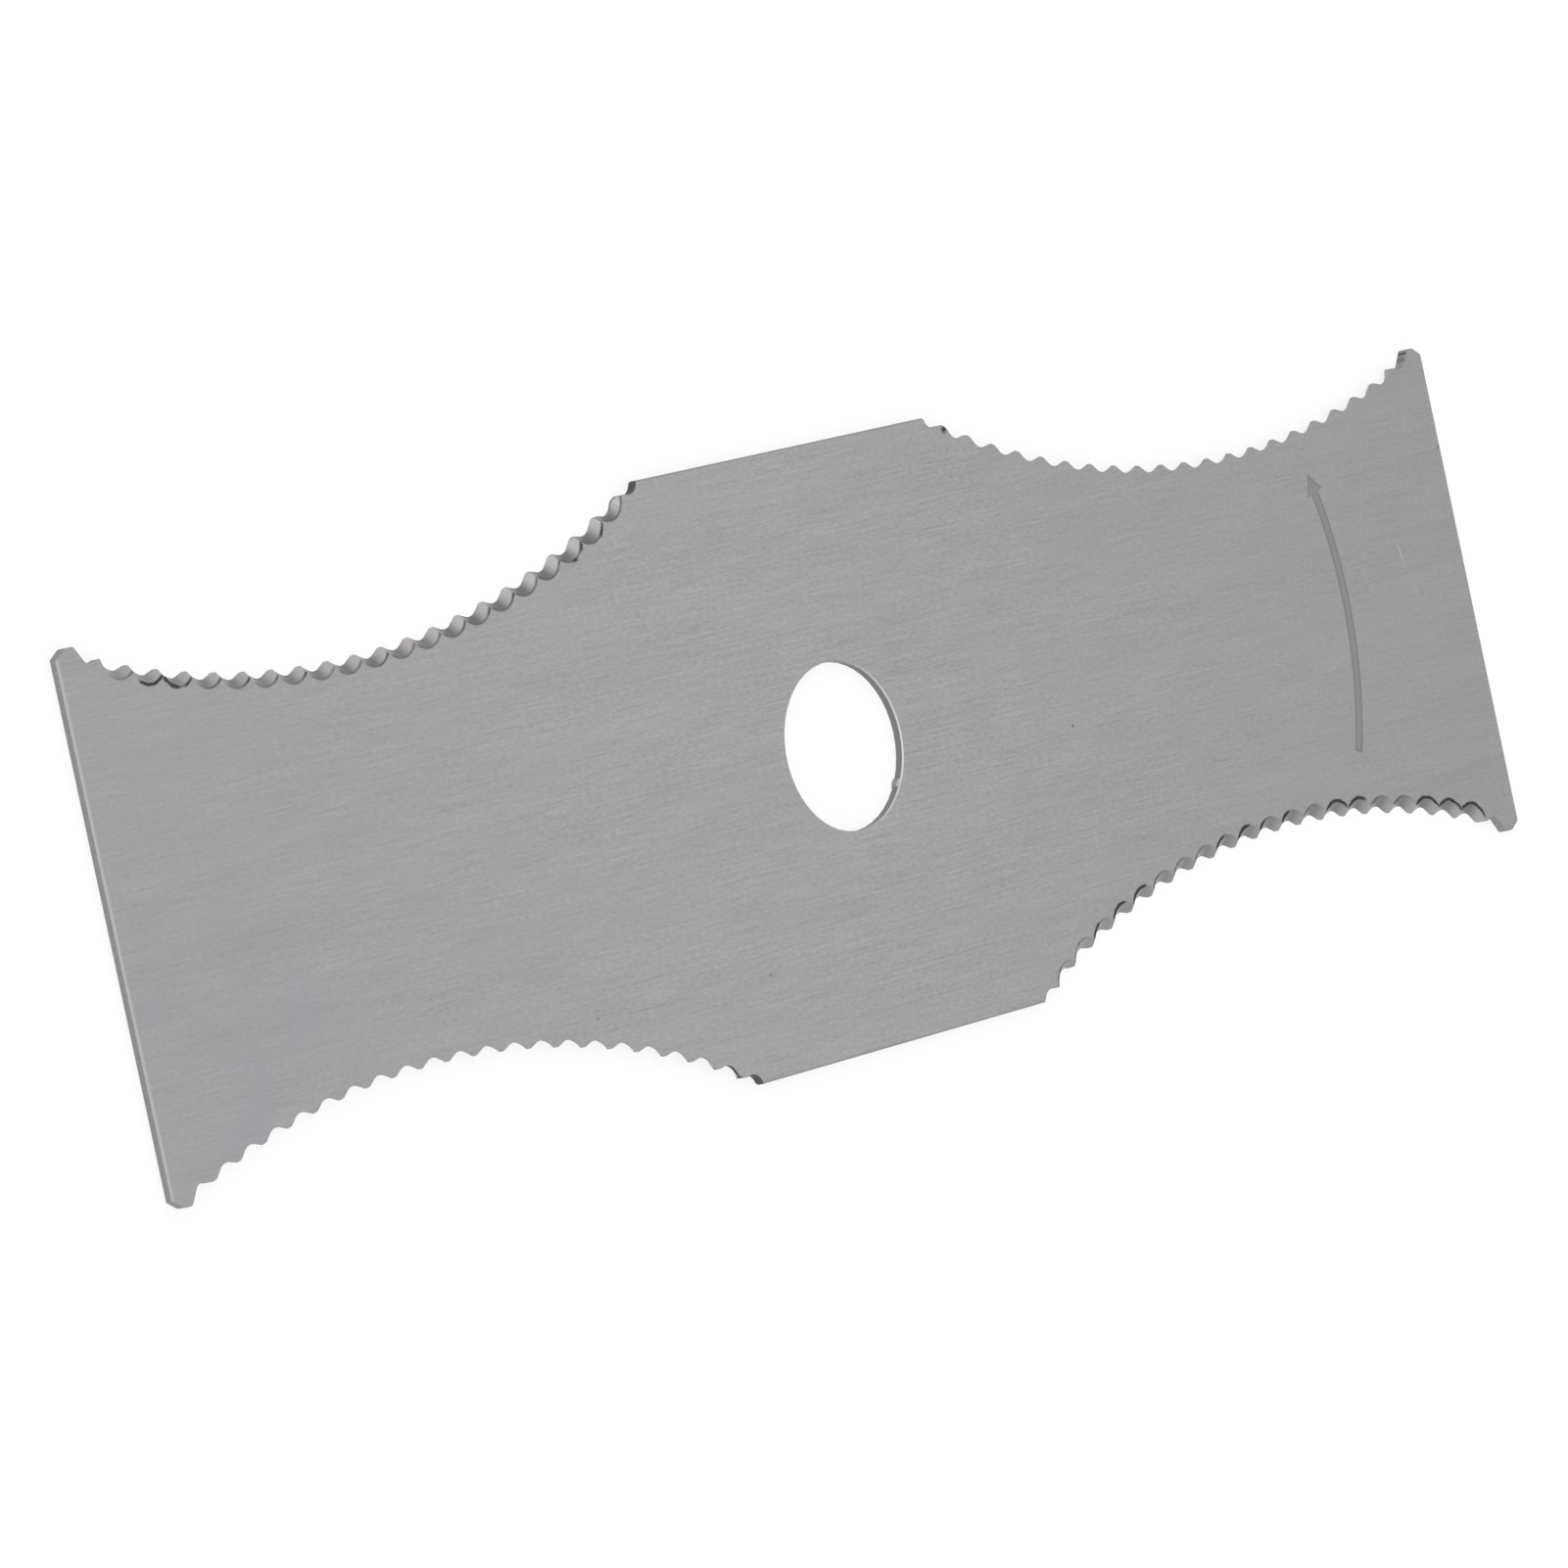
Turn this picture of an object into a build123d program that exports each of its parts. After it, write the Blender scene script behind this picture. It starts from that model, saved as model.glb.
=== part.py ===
from build123d import *
import os
from math import acos, asin, cos, degrees, radians, sin

os.makedirs("parts", exist_ok=True)

# Spring steel strip the blade is cut from
length = 305.0
width = 90.0
thickness = 1.6
edge_round = 0.4

# Bore that fits over the spindle of the trimmer head
bore_diameter = 25.4
bore_chamfer = 0.2

# Wavy edge, one at each corner of the strip, along an arc that narrows the arm to its waist
waist_width = 57.8
waist_to_end = 54.2
wave_radius = 147.3
wave_height = 1.08
gullet_pitch = 2.153

# Horn left standing between the last gullet and the end of the arm
horn_length = 5.7
horn_root_flat = 0.55
horn_root_round = 0.8
flank_angle = 56.5
horn_height = 2.5
horn_round = 0.7
horn_flat = 1.45
clip_round = 1.0
clip_depth = 1.4

# Flutes ground across the wave, which leave a narrow land at the cutting edge
flute_radius = 4.25
flute_tilt = 45.0
flute_land = 0.2
shallow_flute_land = 0.7

# Arc of the wave, and the gullets that fit on it between the horn and the straight middle
waist_offset = length / 2 - waist_to_end
arc_centre_y = waist_width / 2 + wave_radius
gullet_radius = wave_radius + wave_height / 2
tip_radius = wave_radius - wave_height / 2
last_gullet = degrees(asin((waist_to_end - horn_length) / gullet_radius))
strip_edge_angle = degrees(acos((arc_centre_y - width / 2) / wave_radius))
gullet_count = int((last_gullet + strip_edge_angle) / gullet_pitch) + 1
first_gullet = last_gullet - (gullet_count - 1) * gullet_pitch
quarter_pitch = gullet_pitch / 4


def on_arc(radius, angle):
    """Point at an angle from the waist, counted toward the end of the arm."""
    x = waist_offset + radius * sin(radians(angle))
    y = arc_centre_y - radius * cos(radians(angle))
    return (x, y)


def half_wave(crest_radius, crest_angle):
    """Round tip or gullet between two points where the wave crosses its arc."""
    return ThreePointArc(
        on_arc(wave_radius, crest_angle - quarter_pitch),
        on_arc(crest_radius, crest_angle),
        on_arc(wave_radius, crest_angle + quarter_pitch),
    )


with BuildPart() as blade:
    # Flat strip with eased edges, bored in the middle
    with BuildSketch():
        Rectangle(length, width)
        Circle(bore_diameter / 2, mode=Mode.SUBTRACT)
    extrude(amount=thickness)
    rims = blade.faces().filter_by(Axis.Z).edges()
    fillet(rims.filter_by(GeomType.LINE), edge_round)
    chamfer(rims.filter_by(GeomType.CIRCLE), bore_chamfer)

    # Waste beyond the wave, the horn and its clipped corner, punched out of all four corners
    waste_top = width / 2 + horn_height
    waste_end = length / 2 + thickness
    with BuildSketch():
        with BuildLine():
            first_tip = half_wave(tip_radius, first_gullet - 2 * quarter_pitch)
            for step in range(gullet_count - 1):
                gullet_angle = first_gullet + step * gullet_pitch
                half_wave(gullet_radius, gullet_angle)
                last_tip = half_wave(tip_radius, gullet_angle + 2 * quarter_pitch)
            bottom = on_arc(gullet_radius, last_gullet)
            half_gullet = TangentArc(last_tip @ 1, bottom, tangent=last_tip % 1)
            root = half_gullet @ 1 + (half_gullet % 1) * horn_root_flat
            Line(half_gullet @ 1, root)
            flank = PolarLine(root, horn_height, flank_angle, length_mode=LengthMode.VERTICAL)
            clip_start = flank @ 1 + Vector(horn_flat, 0)
            clip_end_y = clip_start.Y - clip_depth
            Polyline(
                flank @ 1,
                clip_start,
                (length / 2, clip_end_y),
                (waste_end, clip_end_y),
                (waste_end, waste_top),
                ((first_tip @ 0).X, waste_top),
                first_tip @ 0,
            )
        make_face()
        rounded = [(root, horn_root_round), (flank @ 1, horn_round), (clip_start, clip_round)]
        for corner, radius in rounded:
            fillet(vertices().sort_by_distance(corner)[0], radius)
        mirror(about=Plane.YZ)
        mirror(about=Plane.XZ)
    extrude(amount=thickness, mode=Mode.SUBTRACT)

    # Flutes, on the upper face along one diagonal pair of edges and on the underside along the other.
    # The gullets beside the middle and the horn stay plain, and the flute next to the middle is shallow.
    cutter_length = 4 * flute_radius
    half_turns = [(0, 0, 0), (180, 0, 0), (0, 180, 0), (0, 0, 180)]
    quarters = [Location((0, 0, thickness / 2), turn) for turn in half_turns]
    flute_runs = [(1, 1, shallow_flute_land), (2, gullet_count - 3, flute_land)]
    for first, count, land in flute_runs:
        outermost = first_gullet + (first + count - 1) * gullet_pitch
        axis_radius = gullet_radius - flute_radius * cos(radians(flute_tilt))
        axis_height = land + flute_radius * sin(radians(flute_tilt))
        with Locations(*quarters):
            with Locations((-waist_offset, arc_centre_y, axis_height - thickness / 2)):
                with PolarLocations(
                    axis_radius,
                    count,
                    start_angle=-90 - outermost,
                    angular_range=(count - 1) * gullet_pitch,
                    endpoint=True,
                ):
                    Cylinder(
                        flute_radius,
                        cutter_length,
                        rotation=(0, flute_tilt, 0),
                        mode=Mode.SUBTRACT,
                    )

blade.part.label = "blade"
export_step(blade.part, "parts/blade.step")
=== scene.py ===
from math import asin, atan2, ceil, cos, hypot, radians, sin

import bmesh
import bpy
from mathutils import Matrix, Vector, noise


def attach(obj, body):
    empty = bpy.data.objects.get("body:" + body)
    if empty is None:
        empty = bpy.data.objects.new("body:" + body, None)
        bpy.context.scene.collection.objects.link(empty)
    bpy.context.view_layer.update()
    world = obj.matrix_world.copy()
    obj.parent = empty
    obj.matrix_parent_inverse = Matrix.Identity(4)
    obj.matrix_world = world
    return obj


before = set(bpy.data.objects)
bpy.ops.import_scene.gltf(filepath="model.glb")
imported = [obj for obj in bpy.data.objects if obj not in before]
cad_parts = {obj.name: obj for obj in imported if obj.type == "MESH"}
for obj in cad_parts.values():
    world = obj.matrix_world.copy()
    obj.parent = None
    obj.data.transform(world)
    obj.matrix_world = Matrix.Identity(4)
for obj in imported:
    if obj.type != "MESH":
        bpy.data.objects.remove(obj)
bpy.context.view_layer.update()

# Blade
# One strip of hardened spring steel, ground flat and brushed along its length, then punched to
# shape and bored. Its four wavy edges are ground with a round wheel, so each gullet is a small flute.
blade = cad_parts["blade"]

# Sizes of the part that its finish follows, in mm and degrees. The wavy edge lies on an arc at each
# corner, and its gullets are counted from the straight middle of the blade to the horn. A flute's lip
# is an ellipse on the face, as wide as the flute and reaching further into the blade.
thickness = 1.6
bore_radius = 12.7
arc_centre = (98.3, 176.2, 0.0)
gullet_radius = 147.84
gullet_pitch = 2.153
first_gullet = 26.06
last_flute = 20
shallow_flute = 1
shallow_step = 0.5
flute_radius = 4.25
lip_reach = 6.01
lip_centre = 143.23
edge_margin = 0.6
gullet_spacing = radians(gullet_pitch) * gullet_radius
mm_per_metre = 1000.0


def linear(hex_colour):
    """Linear RGBA of an sRGB colour written as hex."""
    channels = [int(hex_colour[i:i + 2], 16) / 255 for i in (1, 3, 5)]
    straight = [c / 12.92 if c <= 0.04045 else ((c + 0.055) / 1.055) ** 2.4 for c in channels]
    return (*straight, 1.0)


def add_node(tree, kind, inputs=None, **settings):
    """New node with its settings, each input linked to a node or socket or set to a value."""
    node = tree.nodes.new(kind)
    for name, value in settings.items():
        setattr(node, name, value)
    for name, value in (inputs or {}).items():
        if isinstance(value, bpy.types.Node):
            value = next(socket for socket in value.outputs if socket.enabled)
        if isinstance(value, bpy.types.NodeSocket):
            tree.links.new(value, node.inputs[name])
        else:
            node.inputs[name].default_value = value
    return node


# Brushed spring steel: a grey metal whose fine scratches all run along the strip, so that it looks
# soft and even from a step away and streaky close to.
brushed_steel = bpy.data.materials.new("brushed_spring_steel")
brushed_steel.use_nodes = True
steel = brushed_steel.node_tree
steel.nodes.clear()

# Place on the blade in mm, its distance from the middle of the bore, and how far the surface faces up
# or down: the brushed faces, the upright walls, and between them the eased edges and the flutes
face_from, face_full = 0.9, 0.98
wall_full, wall_to = 0.15, 0.35
underside_from = -0.4
place = add_node(steel, "ShaderNodeTexCoord")
place_mm = add_node(
    steel,
    "ShaderNodeVectorMath",
    {0: place.outputs["Object"], "Scale": mm_per_metre},
    operation="SCALE",
)
axes = add_node(steel, "ShaderNodeSeparateXYZ", {0: place_mm})
flat_place = add_node(
    steel, "ShaderNodeVectorMath", {0: place_mm, 1: (1.0, 1.0, 0.0)}, operation="MULTIPLY"
)
from_bore = add_node(steel, "ShaderNodeVectorMath", {0: flat_place}, operation="LENGTH")
facing = add_node(steel, "ShaderNodeSeparateXYZ", {0: place.outputs["Normal"]})
uprightness = add_node(steel, "ShaderNodeMath", {0: facing.outputs["Z"]}, operation="ABSOLUTE")
on_face = add_node(
    steel,
    "ShaderNodeMapRange",
    {"Value": uprightness, "From Min": face_from, "From Max": face_full},
    interpolation_type="SMOOTHSTEP",
)
on_wall = add_node(
    steel,
    "ShaderNodeMapRange",
    {
        "Value": uprightness,
        "From Min": wall_full,
        "From Max": wall_to,
        "To Min": 1.0,
        "To Max": 0.0,
    },
    interpolation_type="SMOOTHSTEP",
)
off_underside = add_node(
    steel,
    "ShaderNodeMath",
    {0: facing.outputs["Z"], 1: underside_from},
    operation="GREATER_THAN",
)

# Place along the wavy edge of the nearest corner: the number of the nearest flute, how far across it as
# a share of the spacing, below zero toward the middle, and the distance from the arc's centre
folded = add_node(steel, "ShaderNodeVectorMath", {0: place_mm}, operation="ABSOLUTE")
to_centre = add_node(
    steel, "ShaderNodeVectorMath", {0: arc_centre, 1: folded}, operation="SUBTRACT"
)
to_centre_flat = add_node(
    steel, "ShaderNodeVectorMath", {0: to_centre, 1: (1.0, 1.0, 0.0)}, operation="MULTIPLY"
)
arc_distance = add_node(
    steel, "ShaderNodeVectorMath", {0: to_centre_flat}, operation="LENGTH"
)
arc_axes = add_node(steel, "ShaderNodeSeparateXYZ", {0: to_centre_flat})
arc_angle = add_node(
    steel,
    "ShaderNodeMath",
    {0: arc_axes.outputs["X"], 1: arc_axes.outputs["Y"]},
    operation="ARCTAN2",
)
gullet_place = add_node(
    steel,
    "ShaderNodeMath",
    {0: arc_angle, 1: -1 / radians(gullet_pitch), 2: first_gullet / gullet_pitch},
    operation="MULTIPLY_ADD",
)
nearest_gullet = add_node(steel, "ShaderNodeMath", {0: gullet_place}, operation="ROUND")
gullet_number = add_node(
    steel,
    "ShaderNodeClamp",
    {"Value": nearest_gullet, "Min": shallow_flute, "Max": last_flute},
)
across_gullet = add_node(
    steel, "ShaderNodeMath", {0: gullet_place, 1: gullet_number}, operation="SUBTRACT"
)

# Flutes lie on the upper side at one diagonal pair of corners and on the underside at the other. Their
# run ends one spacing past the first and the last.
run_margin = 1.0
fluted_run = add_node(
    steel, "ShaderNodeMath", {0: across_gullet, 1: 0.0, 2: run_margin}, operation="COMPARE"
)
corner_sign = add_node(
    steel,
    "ShaderNodeMath",
    {0: axes.outputs["X"], 1: axes.outputs["Y"]},
    operation="MULTIPLY",
)
side_sign = add_node(
    steel, "ShaderNodeMath", {0: corner_sign, 1: facing.outputs["Z"]}, operation="MULTIPLY"
)
fluted_side = add_node(
    steel, "ShaderNodeMath", {0: side_sign, 1: 0.0}, operation="LESS_THAN"
)
near_edge = add_node(
    steel,
    "ShaderNodeMath",
    {0: arc_distance, 1: lip_centre + lip_reach + edge_margin},
    operation="LESS_THAN",
)
fluted_corner = add_node(
    steel, "ShaderNodeMath", {0: fluted_run, 1: fluted_side}, operation="MULTIPLY"
)
fluted_edge = add_node(
    steel, "ShaderNodeMath", {0: fluted_corner, 1: near_edge}, operation="MULTIPLY"
)

# Brushed faces: short flecks and long scratches over broad faint bands, in two greys, strongest round
# the bore. The real scratches are finer than the picture can show, so they are drawn 0.4 mm wide.
scratch_width = 0.4
fleck_length = 1.1
scratch_length = 11.0
band_length, band_width = 45.0, 4.0
band_share = 0.2
patch_length, patch_width = 24.0, 9.0
grain_roughness = 0.6
weak_patch, strong_patch = 0.9, 1.3
strong_within, weak_beyond = 20.0, 140.0
strength_at_bore, strength_at_ends = 1.2, 0.72
grain_sizes = {
    "flecks": (fleck_length, scratch_width, 1.0),
    "scratches": (scratch_length, scratch_width, 2.0),
    "bands": (band_length, band_width, 2.0),
    "patches": (patch_length, patch_width, 1.0),
}
grain = {}
for name, (grain_length, grain_width, detail) in grain_sizes.items():
    grain_place = add_node(
        steel,
        "ShaderNodeVectorMath",
        {0: place_mm, 1: (grain_length, grain_width, grain_width)},
        operation="DIVIDE",
    )
    grain[name] = add_node(
        steel,
        "ShaderNodeTexNoise",
        {"Vector": grain_place, "Scale": 1.0, "Detail": detail, "Roughness": grain_roughness},
    )
streaks = add_node(
    steel, "ShaderNodeMix", {"Factor": 0.5, "A": grain["flecks"], "B": grain["scratches"]}
)
streak_strength = add_node(
    steel,
    "ShaderNodeMapRange",
    {
        "Value": grain["patches"],
        "From Min": 0.35,
        "From Max": 0.65,
        "To Min": weak_patch,
        "To Max": strong_patch,
    },
)
brushing_strength = add_node(
    steel,
    "ShaderNodeMapRange",
    {
        "Value": from_bore,
        "From Min": strong_within,
        "From Max": weak_beyond,
        "To Min": strength_at_bore,
        "To Max": strength_at_ends,
    },
)
local_strength = add_node(
    steel, "ShaderNodeMath", {0: streak_strength, 1: brushing_strength}, operation="MULTIPLY"
)
streaks_from_mean = add_node(
    steel, "ShaderNodeMath", {0: streaks, 1: 0.5}, operation="SUBTRACT"
)
band_level = add_node(
    steel,
    "ShaderNodeMapRange",
    {"Value": grain["bands"], "To Min": 0.5 - band_share / 2, "To Max": 0.5 + band_share / 2},
)

# The faces are a little darker toward both ends, more so on the arm with the arrow
arrow_end, arrow_end_level = 150.0, -0.12
plain_start, plain_start_level = -50.0, 0.033
plain_stop, plain_stop_level = -130.0, -0.046
marked_end = add_node(
    steel,
    "ShaderNodeMapRange",
    {
        "Value": axes.outputs["X"],
        "From Min": 0.0,
        "From Max": arrow_end,
        "To Max": arrow_end_level,
    },
)
plain_end = add_node(
    steel,
    "ShaderNodeMapRange",
    {
        "Value": axes.outputs["X"],
        "From Min": plain_start,
        "From Max": plain_stop,
        "To Min": plain_start_level,
        "To Max": plain_stop_level,
    },
)
even_level = band_level
for dulling in (marked_end, plain_end):
    even_level = add_node(steel, "ShaderNodeMath", {0: even_level, 1: dulling}, operation="ADD")
patchy_streaks = add_node(
    steel,
    "ShaderNodeMath",
    {0: streaks_from_mean, 1: local_strength, 2: even_level},
    operation="MULTIPLY_ADD",
)
face_tone = add_node(
    steel,
    "ShaderNodeMix",
    {"Factor": patchy_streaks, "A": linear("#999999"), "B": linear("#c7c7c7")},
    data_type="RGBA",
)

# Oil has left a faint blue stain in patches toward the end without the arrow, mostly at its lower
# corner
stain_patch = 14.0
stain_most = 0.22
stain_start, stain_full = -80.0, -120.0
upper_side, upper_share = 10.0, 0.4
lower_side, lower_share = -30.0, 1.8
stain_noise = add_node(
    steel,
    "ShaderNodeTexNoise",
    {"Vector": flat_place, "Scale": 1 / stain_patch, "Detail": 1.0},
)
stain_patches = add_node(
    steel,
    "ShaderNodeMapRange",
    {"Value": stain_noise, "From Min": 0.5, "From Max": 0.7, "To Max": stain_most},
    interpolation_type="SMOOTHSTEP",
)
stained_end = add_node(
    steel,
    "ShaderNodeMapRange",
    {"Value": axes.outputs["X"], "From Min": stain_start, "From Max": stain_full},
)
stained_corner = add_node(
    steel,
    "ShaderNodeMapRange",
    {
        "Value": axes.outputs["Y"],
        "From Min": upper_side,
        "From Max": lower_side,
        "To Min": upper_share,
        "To Max": lower_share,
    },
)
stain = stain_patches
for share in (stained_end, stained_corner):
    stain = add_node(steel, "ShaderNodeMath", {0: stain, 1: share}, operation="MULTIPLY")
stained_tone = add_node(
    steel,
    "ShaderNodeMix",
    {"Factor": stain, "A": face_tone, "B": linear("#adadb8")},
    data_type="RGBA",
)

# Eased edges: rubbed down across the brushing, so they are duller than the faces. The rim of the bore is
# painted brighter than the other edges, as a painted highlight.
rim_width = 0.2
rim_reach = 0.3
in_bore = add_node(
    steel,
    "ShaderNodeMath",
    {0: from_bore, 1: bore_radius + rim_width, 2: rim_reach},
    operation="COMPARE",
)
off_face = add_node(steel, "ShaderNodeMath", {0: 1.0, 1: on_face}, operation="SUBTRACT")
off_wall = add_node(steel, "ShaderNodeMath", {0: 1.0, 1: on_wall}, operation="SUBTRACT")
sloping = add_node(steel, "ShaderNodeMath", {0: off_face, 1: off_wall}, operation="MULTIPLY")
# Painted highlight: the bore's rim gets a brighter colour than the other eased edges
edge_tone_with_rim_highlight = add_node(
    steel,
    "ShaderNodeMix",
    {"Factor": in_bore, "A": linear("#a3a3a3"), "B": linear("#bebebe")},
    data_type="RGBA",
)
eased_tone = add_node(
    steel,
    "ShaderNodeMix",
    {"Factor": sloping, "A": stained_tone, "B": edge_tone_with_rim_highlight},
    data_type="RGBA",
)

# Punched walls: duller and darker, with faint marks down the wall, and darkest in the bore, where the
# extra darkness is painted shade
punch_mark = 0.45
punch_place = add_node(
    steel,
    "ShaderNodeVectorMath",
    {0: place_mm, 1: (punch_mark, punch_mark, 4 * thickness)},
    operation="DIVIDE",
)
punch_marks = add_node(
    steel, "ShaderNodeTexNoise", {"Vector": punch_place, "Scale": 1.0, "Detail": 2.0}
)
wall_tone = add_node(
    steel,
    "ShaderNodeMix",
    {"Factor": punch_marks, "A": linear("#868686"), "B": linear("#a0a0a0")},
    data_type="RGBA",
)
# Painted shade: the wall of the bore gets a darker colour than the other walls
bore_shaded_wall_tone = add_node(
    steel,
    "ShaderNodeMix",
    {"Factor": in_bore, "A": wall_tone, "B": linear("#838383")},
    data_type="RGBA",
)
walled_tone = add_node(
    steel,
    "ShaderNodeMix",
    {"Factor": on_wall, "A": eased_tone, "B": bore_shaded_wall_tone},
    data_type="RGBA",
)

# Painted shade on the walls where the waves begin on the arm without the arrow, and along the lower edges
# also on the walls of the gullets next to the middle
first_wall_shade = 0.75
wave_start, start_reach = -0.1, 0.5
gullet_wall_shade = 0.9
full_shade_to, shade_end = 3.0, 9.0
near_middle = add_node(
    steel,
    "ShaderNodeMapRange",
    {
        "Value": gullet_place,
        "From Min": full_shade_to,
        "From Max": shade_end,
        "To Min": gullet_wall_shade,
        "To Max": 0.0,
    },
)
on_lower_edge = add_node(
    steel, "ShaderNodeMath", {0: axes.outputs["Y"], 1: 0.0}, operation="LESS_THAN"
)
gullet_wall_shading = near_middle
for share in (on_lower_edge, fluted_run):
    gullet_wall_shading = add_node(
        steel, "ShaderNodeMath", {0: gullet_wall_shading, 1: share}, operation="MULTIPLY"
    )
at_wave_start = add_node(
    steel,
    "ShaderNodeMath",
    {0: gullet_place, 1: wave_start, 2: start_reach},
    operation="COMPARE",
)
on_plain_arm = add_node(
    steel, "ShaderNodeMath", {0: axes.outputs["X"], 1: 0.0}, operation="LESS_THAN"
)
start_wall_shading = at_wave_start
for share in (on_plain_arm, first_wall_shade):
    start_wall_shading = add_node(
        steel, "ShaderNodeMath", {0: start_wall_shading, 1: share}, operation="MULTIPLY"
    )
wall_shading_share = add_node(
    steel, "ShaderNodeMath", {0: start_wall_shading, 1: gullet_wall_shading}, operation="MAXIMUM"
)
painted_wall_shade = on_wall
for share in (wall_shading_share, near_edge):
    painted_wall_shade = add_node(steel, "ShaderNodeMath", {0: painted_wall_shade, 1: share}, operation="MULTIPLY")
# Painted shade: these walls get a near black colour
shaded_wall_tone = add_node(
    steel,
    "ShaderNodeMix",
    {"Factor": painted_wall_shade, "A": walled_tone, "B": linear("#3c393a")},
    data_type="RGBA",
)

# Ground flutes: their own grey with wheel marks, and painted shade from the middle of each flute to its
# side toward the horn, deeper on the arm without the arrow. Wheel marks run along each flute, strongest
# near the middle of the blade, and there is a faint purple heat tint here and there.
wheel_mark = 0.45
mark_run = 7.0
strong_marks_to, weak_marks_from = 3.0, 7.0
strong_marks, weak_marks = 2.2, 0.6
flute_shade_from, flute_shade_full, flute_shade_most = -0.36, 0.02, 0.9
ease_from, ease_to = 0.1, 0.4
plain_arm_ease, arrow_arm_ease = 0.85, 0.5
tint_patch = 16.0
tint_most = 0.5
wheel_place = add_node(
    steel,
    "ShaderNodeCombineXYZ",
    {"X": gullet_place, "Y": arc_distance, "Z": axes.outputs["Z"]},
)
wheel_steps = add_node(
    steel,
    "ShaderNodeVectorMath",
    {0: wheel_place, 1: (gullet_spacing / wheel_mark, 1 / mark_run, 1 / mark_run)},
    operation="MULTIPLY",
)
wheel_marks = add_node(
    steel, "ShaderNodeTexNoise", {"Vector": wheel_steps, "Scale": 1.0, "Detail": 2.0}
)
mark_strength = add_node(
    steel,
    "ShaderNodeMapRange",
    {
        "Value": gullet_number,
        "From Min": strong_marks_to,
        "From Max": weak_marks_from,
        "To Min": strong_marks,
        "To Max": weak_marks,
    },
)
marks_from_mean = add_node(
    steel, "ShaderNodeMath", {0: wheel_marks, 1: 0.5}, operation="SUBTRACT"
)
mark_level = add_node(
    steel,
    "ShaderNodeMath",
    {0: marks_from_mean, 1: mark_strength, 2: 0.5},
    operation="MULTIPLY_ADD",
)
unshaded_flute_tone = add_node(
    steel,
    "ShaderNodeMix",
    {"Factor": mark_level, "A": linear("#9e9d9e"), "B": linear("#b6b4b6")},
    data_type="RGBA",
)
side_of_bore = add_node(steel, "ShaderNodeMath", {0: axes.outputs["X"]}, operation="SIGN")
shade_toward_horn = add_node(
    steel,
    "ShaderNodeMapRange",
    {
        "Value": across_gullet,
        "From Min": flute_shade_from,
        "From Max": flute_shade_full,
        "To Max": flute_shade_most,
    },
    interpolation_type="SMOOTHSTEP",
)
shade_left_at_horn = add_node(
    steel,
    "ShaderNodeMapRange",
    {
        "Value": side_of_bore,
        "From Min": -1.0,
        "To Min": plain_arm_ease,
        "To Max": arrow_arm_ease,
    },
)
past_shade = add_node(
    steel,
    "ShaderNodeMapRange",
    {
        "Value": across_gullet,
        "From Min": ease_from,
        "From Max": ease_to,
        "To Min": 1.0,
        "To Max": shade_left_at_horn,
    },
    interpolation_type="SMOOTHSTEP",
)
# Painted shade: the flute's colour is darkened from its middle toward the horn
painted_shade_side = add_node(
    steel, "ShaderNodeMath", {0: shade_toward_horn, 1: past_shade}, operation="MULTIPLY"
)
on_arrow_arm = add_node(
    steel, "ShaderNodeMapRange", {"Value": side_of_bore, "From Min": -1.0}
)
# Colour of the painted shade, darker on the arm without the arrow
painted_shade_tone = add_node(
    steel,
    "ShaderNodeMix",
    {"Factor": on_arrow_arm, "A": linear("#7a797a"), "B": linear("#919091")},
    data_type="RGBA",
)
shaded_ground_tone = add_node(
    steel,
    "ShaderNodeMix",
    {"Factor": painted_shade_side, "A": unshaded_flute_tone, "B": painted_shade_tone},
    data_type="RGBA",
)
tint_noise = add_node(
    steel,
    "ShaderNodeTexNoise",
    {"Vector": place_mm, "Scale": 1 / tint_patch, "Detail": 1.0},
)
heat_tint = add_node(
    steel,
    "ShaderNodeMapRange",
    {"Value": tint_noise, "From Min": 0.5, "From Max": 0.75, "To Max": tint_most},
)
flute_tone = add_node(
    steel,
    "ShaderNodeMix",
    {"Factor": heat_tint, "A": shaded_ground_tone, "B": linear("#a29ba5")},
    data_type="RGBA",
)
in_flute = add_node(steel, "ShaderNodeMath", {0: sloping, 1: fluted_edge}, operation="MULTIPLY")
fluted_tone = add_node(
    steel,
    "ShaderNodeMix",
    {"Factor": in_flute, "A": shaded_wall_tone, "B": flute_tone},
    data_type="RGBA",
)

# Lip lines: a thin dark line along each flute's lip on the side toward the middle, partly scorch left by
# the wheel and partly painted shade of the steep wall below the lip, and darkest at the tips between the
# flutes, where it is painted shade of the necks. On the arm with the arrow it is smeared outward onto the
# face and a little darker.
lip_line = 0.26
lip_shift = 0.1
fade_from, fade_to, faded = -0.3, 0.4, 0.15
tip_full, tip_from, tip_shade = -0.48, -0.34, 1.25
scorch_patch = 2.4
least_scorch = 0.55
plain_arm_scorch = 0.85
on_shallow = add_node(
    steel, "ShaderNodeMath", {0: gullet_number, 1: shallow_flute + 0.5}, operation="LESS_THAN"
)
lip_distance = add_node(
    steel,
    "ShaderNodeMath",
    {0: on_shallow, 1: shallow_step, 2: arc_distance},
    operation="MULTIPLY_ADD",
)
lip_place = add_node(
    steel, "ShaderNodeCombineXYZ", {"X": across_gullet, "Y": lip_distance}
)
lip_share = add_node(
    steel,
    "ShaderNodeVectorMath",
    {
        0: lip_place,
        1: (gullet_spacing / flute_radius, 1 / lip_reach, 0.0),
        2: (0.0, -lip_centre / lip_reach, 0.0),
    },
    operation="MULTIPLY_ADD",
)
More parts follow.
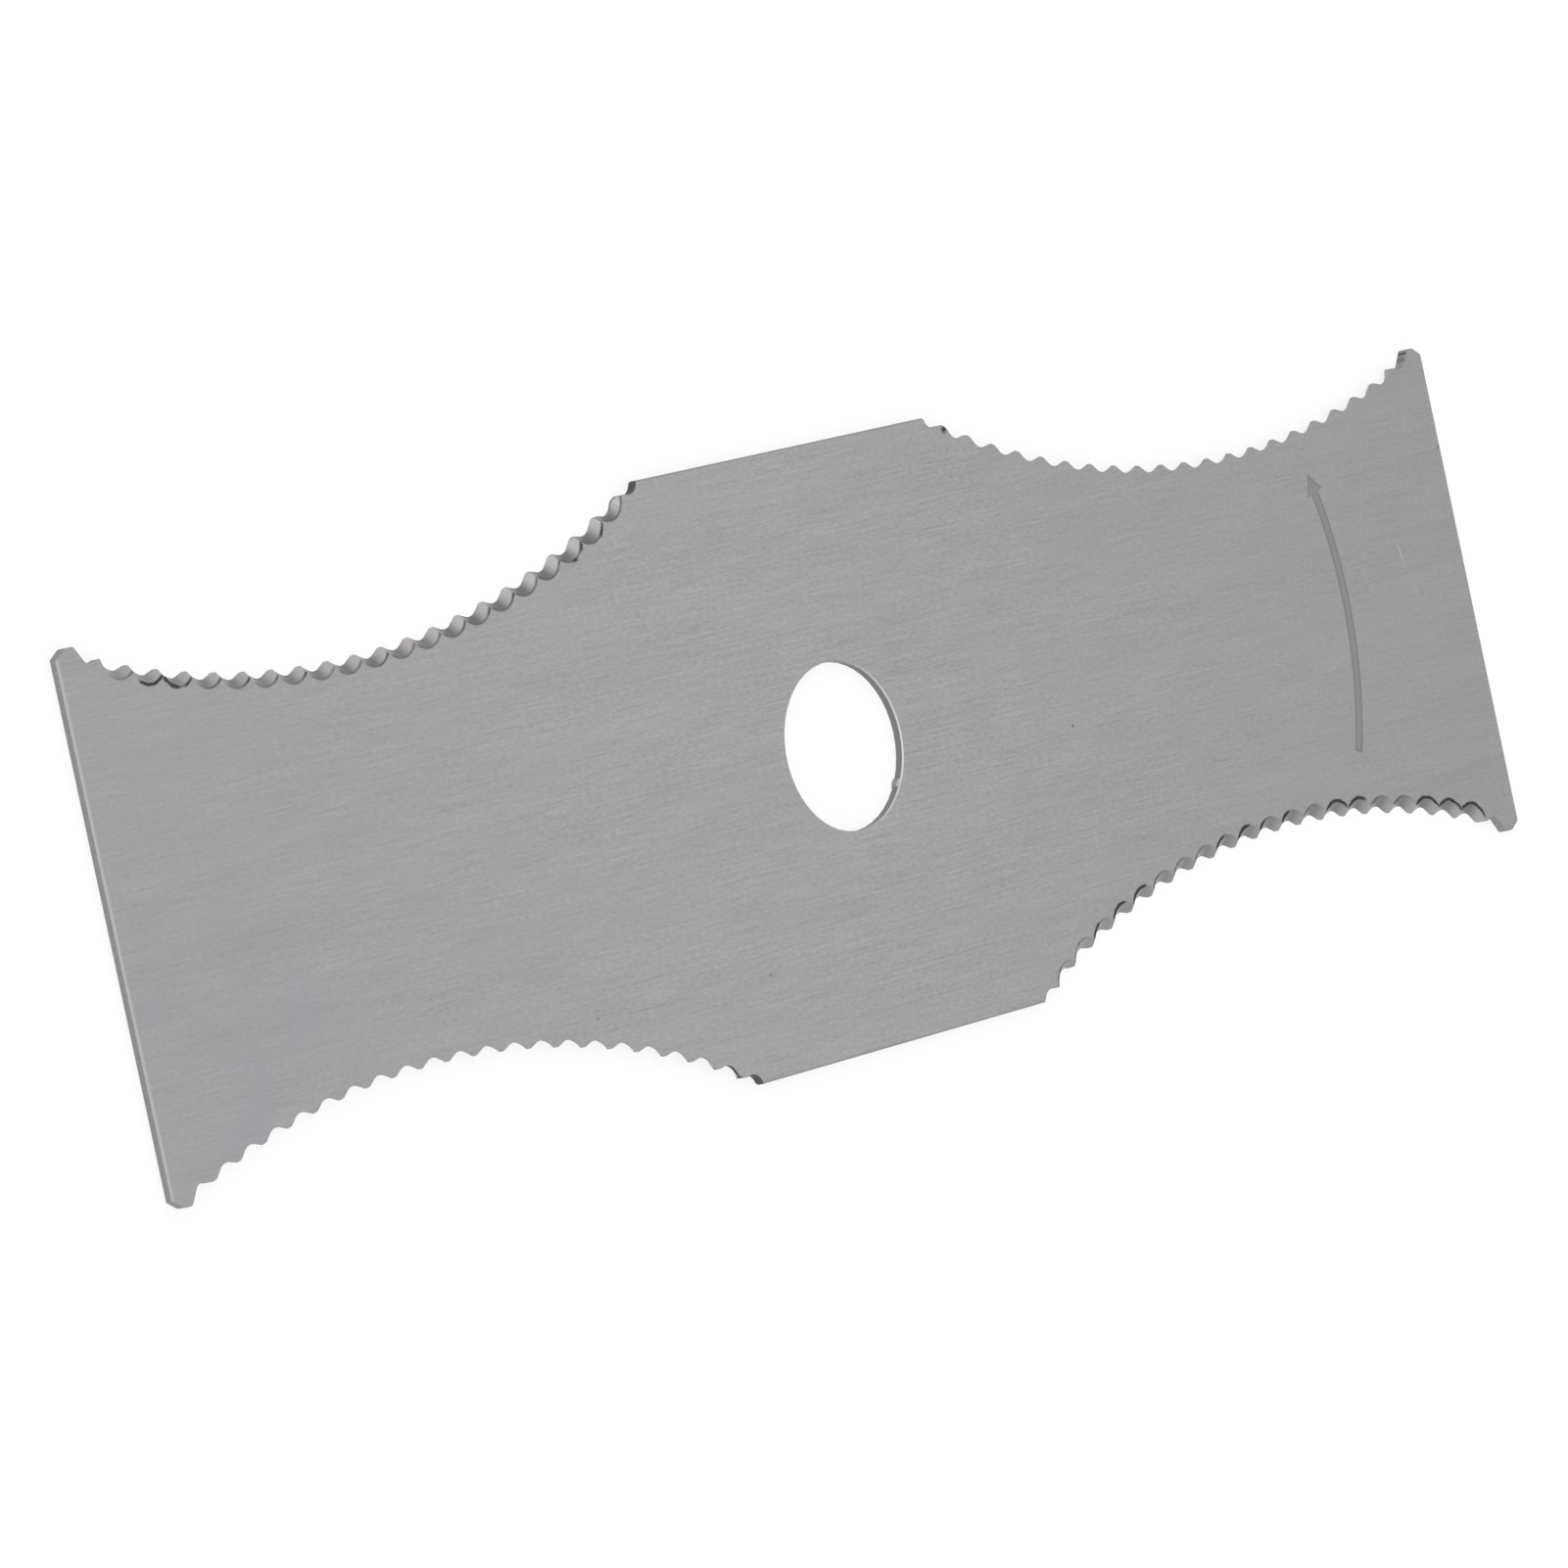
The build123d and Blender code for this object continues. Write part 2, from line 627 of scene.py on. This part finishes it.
lip_ratio = add_node(steel, "ShaderNodeVectorMath", {0: lip_share}, operation="LENGTH")
lip_offset = add_node(steel, "ShaderNodeMath", {0: lip_ratio, 1: 1.0}, operation="SUBTRACT")
lip_slope = add_node(
    steel,
    "ShaderNodeVectorMath",
    {0: lip_share, 1: (1 / flute_radius, 1 / lip_reach, 0.0)},
    operation="MULTIPLY",
)
lip_steepness = add_node(steel, "ShaderNodeVectorMath", {0: lip_slope}, operation="LENGTH")
past_lip = add_node(
    steel, "ShaderNodeMath", {0: lip_offset, 1: lip_steepness}, operation="DIVIDE"
)
line_shift = add_node(
    steel,
    "ShaderNodeMapRange",
    {"Value": side_of_bore, "From Min": -1.0, "To Min": 0.0, "To Max": lip_shift},
)
outside_lip = add_node(
    steel, "ShaderNodeMath", {0: past_lip, 1: line_shift}, operation="SUBTRACT"
)
lip_gap = add_node(steel, "ShaderNodeMath", {0: outside_lip}, operation="ABSOLUTE")
at_lip = add_node(
    steel,
    "ShaderNodeMapRange",
    {"Value": lip_gap, "From Max": lip_line, "To Min": 1.0, "To Max": 0.0},
    interpolation_type="SMOOTHSTEP",
)
toward_middle = add_node(
    steel,
    "ShaderNodeMapRange",
    {
        "Value": across_gullet,
        "From Min": fade_from,
        "From Max": fade_to,
        "To Min": 1.0,
        "To Max": faded,
    },
)
# Painted shade at the tips between the flutes makes the line darker there
shade_at_tip = add_node(
    steel,
    "ShaderNodeMapRange",
    {
        "Value": across_gullet,
        "From Min": tip_full,
        "From Max": tip_from,
        "To Min": tip_shade,
        "To Max": 1.0,
    },
)
scorch_noise = add_node(
    steel,
    "ShaderNodeTexNoise",
    {"Vector": place_mm, "Scale": 1 / scorch_patch, "Detail": 2.0},
)
scorch_strength = add_node(
    steel,
    "ShaderNodeMapRange",
    {
        "Value": scorch_noise,
        "From Min": 0.3,
        "From Max": 0.65,
        "To Min": least_scorch,
        "To Max": 1.0,
    },
)
side_strength = add_node(
    steel,
    "ShaderNodeMapRange",
    {"Value": side_of_bore, "From Min": -1.0, "To Min": plain_arm_scorch, "To Max": 1.0},
)
# Dark line along the lips, part scorch and part painted shade
lip_scorch_and_shade = at_lip
for share in (toward_middle, shade_at_tip, scorch_strength, side_strength, fluted_edge):
    lip_scorch_and_shade = add_node(
        steel, "ShaderNodeMath", {0: lip_scorch_and_shade, 1: share}, operation="MULTIPLY"
    )
scorched_and_shaded_tone = add_node(
    steel,
    "ShaderNodeMix",
    {"Factor": lip_scorch_and_shade, "A": fluted_tone, "B": linear("#493d40")},
    data_type="RGBA",
)

# Lips that the wheel burred, burnt black: corner, gullet, start, end and width of the burr in mm, counted
# across the flute from its middle, and how ragged it is. The black line drawn along each is partly the
# burnt burr and partly painted shade beneath it.
burrs = [
    ((1, -1), 3, -2.75, -0.3, 0.12, 0.3),
    ((1, -1), 4, -2.75, 1.2, 0.12, 0.3),
    ((1, -1), 5, -2.75, 1.3, 0.12, 0.3),
    ((1, -1), 9, -2.75, -0.3, 0.1, 0.3),
    ((1, -1), 10, -2.75, 0.6, 0.16, 0.5),
    ((1, -1), 11, -2.75, -1.3, 0.14, 0.4),
    ((1, -1), 12, -2.75, -0.5, 0.14, 0.5),
    ((1, -1), 14, -2.75, 2.5, 0.12, 0.6),
    ((1, -1), 15, -2.75, 1.6, 0.12, 0.6),
    ((1, -1), 18, -2.75, 2.75, 0.13, 0.8),
    ((1, -1), 19, -2.75, 2.75, 0.14, 0.9),
    ((1, -1), 20, -2.75, 3.0, 0.13, 0.8),
    ((-1, 1), 2, -2.3, -1.3, 0.14, 0.4),
    ((-1, 1), 3, -2.7, -2.0, 0.12, 0.4),
    ((-1, 1), 3, -0.6, 0.4, 0.12, 0.4),
    # This wide burr also darkens the steep outer flank of its flute, as painted shade
    ((-1, 1), 18, -0.4, 2.75, 0.26, 0.4),
    ((-1, 1), 18, -2.4, -1.4, 0.1, 0.4),
    ((-1, 1), 19, -2.7, 1.6, 0.1, 0.4),
]
burnt_line = 0.36
burnt_shift = 0.12
fade_run = 0.7
rag_size = 1.0
rag_depth = 0.45
gullet_step = 100.0
signed_gullet = add_node(
    steel, "ShaderNodeMath", {0: gullet_number, 1: side_of_bore}, operation="MULTIPLY"
)
flute_place = add_node(
    steel, "ShaderNodeCombineXYZ", {"X": signed_gullet, "Y": across_gullet}
)
flute_place_mm = add_node(
    steel,
    "ShaderNodeVectorMath",
    {0: flute_place, 1: (gullet_step, gullet_spacing, 0.0)},
    operation="MULTIPLY",
)
along_burrs = 0.0
for corner, gullet, start, end, width, ragged in burrs:
    burr_middle = (corner[0] * gullet * gullet_step, (start + end) / 2, 0.0)
    from_burr = add_node(
        steel, "ShaderNodeVectorMath", {0: flute_place_mm, 1: burr_middle}, operation="DISTANCE"
    )
    on_burr = add_node(
        steel,
        "ShaderNodeMapRange",
        {
            "Value": from_burr,
            "From Min": (end - start - fade_run) / 2,
            "From Max": (end - start + fade_run) / 2,
            "To Min": 1.0,
            "To Max": 0.0,
        },
    )
    along_burrs = add_node(
        steel, "ShaderNodeMath", {0: along_burrs, 1: on_burr}, operation="MAXIMUM"
    )
rag_noise = add_node(
    steel, "ShaderNodeTexNoise", {"Vector": place_mm, "Scale": 1 / rag_size, "Detail": 1.0}
)
rag = add_node(
    steel,
    "ShaderNodeMapRange",
    {
        "Value": rag_noise,
        "To Min": -burnt_shift - rag_depth / 2,
        "To Max": -burnt_shift + rag_depth / 2,
    },
)
ragged_offset = add_node(steel, "ShaderNodeMath", {0: past_lip, 1: rag}, operation="ADD")
ragged_gap = add_node(steel, "ShaderNodeMath", {0: ragged_offset}, operation="ABSOLUTE")
at_burnt_lip = add_node(
    steel,
    "ShaderNodeMapRange",
    {"Value": ragged_gap, "From Max": burnt_line, "To Min": 1.0, "To Max": 0.0},
    interpolation_type="SMOOTHSTEP",
)
# Black line along the burred lips, part burnt burr and part painted shade
lip_burn_and_shade = at_burnt_lip
for share in (along_burrs, off_underside, fluted_edge):
    lip_burn_and_shade = add_node(steel, "ShaderNodeMath", {0: lip_burn_and_shade, 1: share}, operation="MULTIPLY")
burnt_and_shaded_tone = add_node(
    steel,
    "ShaderNodeMix",
    {"Factor": lip_burn_and_shade, "A": scorched_and_shaded_tone, "B": linear("#363335")},
    data_type="RGBA",
)

# Turning arrow etched near one end, the only sign on the blade: a long bow that ends in a small head,
# darker along its outline, brown along the shaft and purple at the very ends
bow_centre = (53.4, 3.7, 0.0)
bow_radius = 67.95
bow_start, head_start, head_end = -21.1, 14.2, 17.1
shaft_half = 0.87
head_half = 1.95
etch_soft = 0.12
outline_width = 0.5
purple_from, purple_full = 16.3, 18.3
from_bow_centre = add_node(
    steel, "ShaderNodeVectorMath", {0: flat_place, 1: bow_centre}, operation="SUBTRACT"
)
bow_axes = add_node(steel, "ShaderNodeSeparateXYZ", {0: from_bow_centre})
bow_angle = add_node(
    steel,
    "ShaderNodeMath",
    {0: bow_axes.outputs["Y"], 1: bow_axes.outputs["X"]},
    operation="ARCTAN2",
)
bow_distance = add_node(
    steel, "ShaderNodeVectorMath", {0: from_bow_centre}, operation="LENGTH"
)
bow_offset = add_node(
    steel, "ShaderNodeMath", {0: bow_distance, 1: bow_radius}, operation="SUBTRACT"
)
beside_bow = add_node(steel, "ShaderNodeMath", {0: bow_offset}, operation="ABSOLUTE")
head_width = add_node(
    steel,
    "ShaderNodeMapRange",
    {
        "Value": bow_angle,
        "From Min": radians(head_start),
        "From Max": radians(head_end),
        "To Min": head_half,
        "To Max": -etch_soft,
    },
)
on_head = add_node(
    steel, "ShaderNodeMath", {0: bow_angle, 1: radians(head_start)}, operation="GREATER_THAN"
)
arrow_width = add_node(
    steel, "ShaderNodeMix", {"Factor": on_head, "A": shaft_half, "B": head_width}
)
inside_arrow = add_node(
    steel, "ShaderNodeMath", {0: arrow_width, 1: beside_bow}, operation="SUBTRACT"
)
past_tail = add_node(
    steel,
    "ShaderNodeMath",
    {0: bow_angle, 1: bow_radius, 2: -bow_radius * radians(bow_start)},
    operation="MULTIPLY_ADD",
)
arrow_depth = add_node(
    steel, "ShaderNodeMath", {0: inside_arrow, 1: past_tail}, operation="MINIMUM"
)
in_arrow = add_node(
    steel,
    "ShaderNodeMapRange",
    {"Value": arrow_depth, "From Min": -etch_soft, "From Max": etch_soft},
    interpolation_type="SMOOTHSTEP",
)
off_outline = add_node(
    steel,
    "ShaderNodeMapRange",
    {"Value": arrow_depth, "From Min": 0.0, "From Max": outline_width},
    interpolation_type="SMOOTHSTEP",
)
from_shaft_middle = add_node(
    steel,
    "ShaderNodeMath",
    {0: bow_angle, 1: radians((bow_start + head_end) / 2)},
    operation="SUBTRACT",
)
toward_ends = add_node(
    steel, "ShaderNodeMath", {0: from_shaft_middle}, operation="ABSOLUTE"
)
at_ends = add_node(
    steel,
    "ShaderNodeMapRange",
    {"Value": toward_ends, "From Min": radians(purple_from), "From Max": radians(purple_full)},
    interpolation_type="SMOOTHSTEP",
)
shaft_tone = add_node(
    steel,
    "ShaderNodeMix",
    {"Factor": off_outline, "A": linear("#8b8586"), "B": linear("#a19c9e")},
    data_type="RGBA",
)
end_tone = add_node(
    steel,
    "ShaderNodeMix",
    {"Factor": off_outline, "A": linear("#91888f"), "B": linear("#a29aa1")},
    data_type="RGBA",
)
arrow_tone = add_node(
    steel,
    "ShaderNodeMix",
    {"Factor": at_ends, "A": shaft_tone, "B": end_tone},
    data_type="RGBA",
)
etched_tone = add_node(
    steel,
    "ShaderNodeMix",
    {"Factor": in_arrow, "A": burnt_and_shaded_tone, "B": arrow_tone},
    data_type="RGBA",
)

# Specks of dirt: place on the face, radius and how dark
speck_fade = 1.4
specks = [
    ((51.2, -5.6), 0.32, 0.6),
    ((-26.0, -29.9), 0.3, 0.5),
    ((-63.3, -29.3), 0.24, 0.6),
    ((36.1, 39.4), 0.22, 0.35),
    ((1.3, -38.3), 0.22, 0.45),
    ((-37.6, 25.8), 0.26, 0.3),
    ((-59.1, 21.3), 0.2, 0.25),
    ((36.3, 42.6), 0.7, 1.0),
    ((151.8, 23.0), 0.3, 0.6),
    ((148.6, 38.7), 0.32, 0.8),
    ((148.0, 37.8), 0.5, 0.4),
]
speckled_tone = etched_tone
for (speck_x, speck_y), speck_radius, darkness in specks:
    from_speck = add_node(
        steel,
        "ShaderNodeVectorMath",
        {0: flat_place, 1: (speck_x, speck_y, 0.0)},
        operation="DISTANCE",
    )
    in_speck = add_node(
        steel,
        "ShaderNodeMapRange",
        {
            "Value": from_speck,
            "From Max": speck_fade * speck_radius,
            "To Min": darkness,
            "To Max": 0.0,
        },
        interpolation_type="SMOOTHSTEP",
    )
    speckled_tone = add_node(
        steel,
        "ShaderNodeMix",
        {"Factor": in_speck, "A": speckled_tone, "B": linear("#2e2e2f")},
        data_type="RGBA",
    )

# Handling scratches that cross the brushing: middle, length, direction and colour. They are bare bright
# steel, or dull where they are old.
handling_scratches = [
    ((137.1, 8.0), 4.0, -80.0, "#dcdcdc"),
    ((139.1, 2.0), 5.2, -82.0, "#c0c0c0"),
    ((54.9, 6.8), 12.0, -89.0, "#bebebe"),
    ((-36.1, 32.2), 1.8, -80.0, "#9c9c9c"),
]
scratch_half = 0.11
scratch_core, scratch_edge, scratch_most = 0.4, 1.2, 0.8
scratched_tone = speckled_tone
for (scratch_x, scratch_y), run, direction, colour in handling_scratches:
    along_scratch = add_node(
        steel,
        "ShaderNodeMapping",
        {
            "Vector": flat_place,
            "Location": (scratch_x, scratch_y, 0.0),
            "Rotation": (0.0, 0.0, radians(direction)),
            "Scale": (run / 2, scratch_half, 1.0),
        },
        vector_type="TEXTURE",
    )
    scratch_reach = add_node(
        steel, "ShaderNodeVectorMath", {0: along_scratch}, operation="LENGTH"
    )
    in_scratch = add_node(
        steel,
        "ShaderNodeMapRange",
        {
            "Value": scratch_reach,
            "From Min": scratch_core,
            "From Max": scratch_edge,
            "To Min": scratch_most,
            "To Max": 0.0,
        },
    )
    scratched_tone = add_node(
        steel,
        "ShaderNodeMix",
        {"Factor": in_scratch, "A": scratched_tone, "B": linear(colour)},
        data_type="RGBA",
    )

# The underside has neither the arrow nor these marks
marked_tone = add_node(
    steel,
    "ShaderNodeMix",
    {"Factor": off_underside, "A": burnt_and_shaded_tone, "B": scratched_tone},
    data_type="RGBA",
)

# The brushing also roughens the surface by a few thousandths of a mm
scratch_depth = 0.000003
face_roughness, wall_roughness = 0.33, 0.5
dullness = add_node(
    steel,
    "ShaderNodeMapRange",
    {"Value": on_wall, "To Min": face_roughness, "To Max": wall_roughness},
)
brushing = add_node(
    steel, "ShaderNodeBump", {"Strength": 1.0, "Distance": scratch_depth, "Height": streaks}
)
shade = add_node(
    steel,
    "ShaderNodeBsdfPrincipled",
    {"Base Color": marked_tone, "Metallic": 1.0, "Roughness": dullness, "Normal": brushing},
)
add_node(steel, "ShaderNodeOutputMaterial", {"Surface": shade})

blade.data.materials.clear()
blade.data.materials.append(brushed_steel)

# Lip burrs
# Slivers of scorched steel that the grinding wheel rolled over the lips of some flutes. They are
# still part of the strip, and hang over the flute as a thin ragged fringe.
burr_step = 0.14
burr_root = 0.04
burr_drop = 0.002
end_taper = 6.0
least_share = 0.1
merge_gap = 0.000002

fringe = bmesh.new()
for corner, gullet, start, end, width, ragged in burrs:
    # Section across the lip, as steps toward the flute and down from the face
    section = [
        (-burr_root, -burr_root / 2),
        (0.0, -burr_drop),
        (width, -0.3 * width),
        (0.5 * width, -0.7 * width),
    ]
    first_vert = len(fringe.verts)
    ring = [
        fringe.verts.new((0.0, flute_radius - inward, thickness + drop)) for inward, drop in section
    ]
    sliver = [fringe.faces.new(ring)]
    start_angle = asin(start / flute_radius)
    sweep = asin(end / flute_radius) - start_angle
    bmesh.ops.rotate(fringe, verts=ring, cent=(0, 0, 0), matrix=Matrix.Rotation(-start_angle, 3, "Z"))
    bmesh.ops.spin(
        fringe,
        geom=sliver + sliver[0].edges[:] + ring,
        cent=(0, 0, 0),
        axis=(0, 0, 1),
        angle=-sweep,
        steps=ceil(flute_radius * sweep / burr_step),
    )
    fringe.verts.ensure_lookup_table()
    burr_verts = fringe.verts[first_vert:]

    # Ragged outline that thins to nothing at both ends
    for vert in burr_verts:
        lip_angle = atan2(vert.co.x, vert.co.y)
        run = (lip_angle - start_angle) / sweep
        thinning = min(1.0, end_taper * max(run, 0.0), end_taper * max(1.0 - run, 0.0))
        rag_place = Vector((lip_angle * flute_radius / rag_size, gullet, corner[0]))
        share = thinning * (1.0 + ragged * noise.noise(rag_place))
        inward = flute_radius - hypot(vert.co.x, vert.co.y)
        inward = max(inward, 0.0) * share + min(inward, 0.0)
        vert.co.x = (flute_radius - inward) * sin(lip_angle)
        vert.co.y = (flute_radius - inward) * cos(lip_angle)
        vert.co.z = thickness + (vert.co.z - thickness) * max(share, least_share)

    # Onto the lip's ellipse, at its gullet and corner, in metres
    right, up = corner
    gullet_angle = radians(gullet * gullet_pitch - first_gullet)
    along = Vector((right * cos(gullet_angle), up * sin(gullet_angle), 0))
    inland = Vector((right * sin(gullet_angle), -up * cos(gullet_angle), 0))
    lip_middle = lip_centre - (shallow_step if gullet == shallow_flute else 0)
    middle = Vector((right * arc_centre[0], up * arc_centre[1], 0)) + lip_middle * inland
    turn = Matrix((along, inland * lip_reach / flute_radius, Vector((0, 0, 1)))).transposed()
    into_place = Matrix.Scale(1 / mm_per_metre, 4) @ Matrix.Translation(middle) @ turn.to_4x4()
    bmesh.ops.transform(fringe, matrix=into_place, verts=burr_verts)

# Burr left in the bore where the punch tore the wall: middle and run in degrees, and a section as
# distance from the bore's middle and height in mm. It starts inside the wall and swells to its middle.
tear_angle, tear_run = -35.0, 8.0
tear_steps = 8
tear_root = 12.75
tear_section = [(tear_root, 0.05), (12.4, 0.1), (12.33, 0.6), (12.42, 1.1), (tear_root, 1.38)]
first_vert = len(fringe.verts)
ring = [fringe.verts.new((reach, 0.0, height)) for reach, height in tear_section]
tear = [fringe.faces.new(ring)]
tear_start = radians(tear_angle - tear_run / 2)
bmesh.ops.rotate(fringe, verts=ring, cent=(0, 0, 0), matrix=Matrix.Rotation(tear_start, 3, "Z"))
bmesh.ops.spin(
    fringe,
    geom=tear + tear[0].edges[:] + ring,
    cent=(0, 0, 0),
    axis=(0, 0, 1),
    angle=radians(tear_run),
    steps=tear_steps,
)
fringe.verts.ensure_lookup_table()
tear_verts = fringe.verts[first_vert:]
for vert in tear_verts:
    run = (atan2(vert.co.y, vert.co.x) - tear_start) / radians(tear_run)
    swell = sin(radians(180 * min(max(run, 0.0), 1.0)))
    reach = hypot(vert.co.x, vert.co.y)
    wanted = tear_root - (tear_root - reach) * swell
    vert.co.x *= wanted / reach
    vert.co.y *= wanted / reach
for face in {face for vert in tear_verts for face in vert.link_faces}:
    face.material_index = 1
bmesh.ops.scale(fringe, vec=[1 / mm_per_metre] * 3, verts=tear_verts)

bmesh.ops.remove_doubles(fringe, verts=fringe.verts, dist=merge_gap)
bmesh.ops.recalc_face_normals(fringe, faces=fringe.faces)
burr_mesh = bpy.data.meshes.new("lip_burrs")
fringe.to_mesh(burr_mesh)
fringe.free()
lip_burrs = bpy.data.objects.new("lip_burrs", burr_mesh)
bpy.context.scene.collection.objects.link(lip_burrs)

# Scorched steel: nearly black and dull, with brown and blue patches where it got less hot. The near black
# is partly the burrs' own scale and partly painted shade along the lips.
scorched_steel = bpy.data.materials.new("scorched_steel")
scorched_steel.use_nodes = True
scorch = scorched_steel.node_tree
scorch.nodes.clear()
scorch_place = add_node(scorch, "ShaderNodeTexCoord")
scale_patch = 1.2
scale_noise = add_node(
    scorch,
    "ShaderNodeTexNoise",
    {"Vector": scorch_place.outputs["Object"], "Scale": mm_per_metre / scale_patch, "Detail": 2.0},
)
scale_level = add_node(
    scorch, "ShaderNodeMapRange", {"Value": scale_noise, "From Min": 0.3, "From Max": 0.7}
)
scale_tone = add_node(
    scorch,
    "ShaderNodeMix",
    {"Factor": scale_level, "A": linear("#302e31"), "B": linear("#686060")},
    data_type="RGBA",
)
scorch_shade = add_node(
    scorch,
    "ShaderNodeBsdfPrincipled",
    {"Base Color": scale_tone, "Metallic": 1.0, "Roughness": 0.55},
)
add_node(scorch, "ShaderNodeOutputMaterial", {"Surface": scorch_shade})
burr_mesh.materials.append(scorched_steel)
burr_mesh.materials.append(brushed_steel)
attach(lip_burrs, "root")

# Floor
# A sweep of matt white paper that the blade lies on. What sees it directly or in the steel sees it
# partly lit from below, as on a light table, so that the blade's shadow stays faint.
floor_size = 8.0
floor_gap = 0.00002

floor_mesh = bpy.data.meshes.new("paper_floor")
sheet = bmesh.new()
bmesh.ops.create_grid(sheet, x_segments=1, y_segments=1, size=floor_size / 2)
bmesh.ops.translate(sheet, verts=sheet.verts, vec=(0, 0, -floor_gap))
sheet.to_mesh(floor_mesh)
sheet.free()
floor = bpy.data.objects.new("paper_floor", floor_mesh)
bpy.context.scene.collection.objects.link(floor)

white_paper = bpy.data.materials.new("matt_white_paper")
white_paper.use_nodes = True
paper = white_paper.node_tree
paper.nodes.clear()
paper_shade = add_node(paper, "ShaderNodeBsdfDiffuse", {"Color": linear("#fbfbfb")})
paper_glow = add_node(
    paper, "ShaderNodeEmission", {"Color": linear("#ffffff"), "Strength": 1.0}
)
ray = add_node(paper, "ShaderNodeLightPath")
seen = ray.outputs["Is Camera Ray"]
for kind in ("Is Glossy Ray", "Is Transmission Ray"):
    seen = add_node(paper, "ShaderNodeMath", {0: seen, 1: ray.outputs[kind]}, operation="MAXIMUM")
glow_share = 0.8
glow = add_node(paper, "ShaderNodeMath", {0: seen, 1: glow_share}, operation="MULTIPLY")
lit_paper = add_node(paper, "ShaderNodeMixShader", {0: glow, 1: paper_shade, 2: paper_glow})
add_node(paper, "ShaderNodeOutputMaterial", {"Surface": lit_paper})
floor_mesh.materials.append(white_paper)

# Light
# A soft studio without lamps. Its walls are lit, brightest behind the camera and overhead, and fall off
# evenly to the far side.
wall_level = 0.875
wall_slope = (-0.4, 0.08, 0.3)

studio = bpy.data.worlds.new("studio_walls")
studio.use_nodes = True
walls = studio.node_tree
walls.nodes.clear()
outward = add_node(walls, "ShaderNodeTexCoord")
slope = add_node(
    walls,
    "ShaderNodeVectorMath",
    {0: outward.outputs["Generated"], 1: wall_slope},
    operation="DOT_PRODUCT",
)
wall_light = add_node(walls, "ShaderNodeMath", {0: slope, 1: wall_level}, operation="ADD")
backdrop = add_node(
    walls, "ShaderNodeBackground", {"Color": linear("#ffffff"), "Strength": wall_light}
)
add_node(walls, "ShaderNodeOutputWorld", {"Surface": backdrop})
bpy.context.scene.world = studio

# Camera
# A long lens well above the blade's left end, turned so that the blade climbs to the right.
focal_length = 224.65
sensor_width = 36.0
eye = Vector((-1.0694, 0.0527, 0.9789))
aim = Vector((-0.01377, -0.00329, 0.0008))
roll = 17.47

lens = bpy.data.cameras.new("long_lens")
lens.lens = focal_length
lens.sensor_width = sensor_width
camera = bpy.data.objects.new("long_lens", lens)
picture_up = Vector((sin(radians(roll)), cos(radians(roll)), 0))
forward = (aim - eye).normalized()
right = forward.cross(picture_up).normalized()
camera.location = eye
camera.rotation_euler = Matrix((right, right.cross(forward), -forward)).transposed().to_euler()
bpy.context.scene.collection.objects.link(camera)
bpy.context.scene.camera = camera
bpy.context.scene.view_settings.view_transform = "Standard"
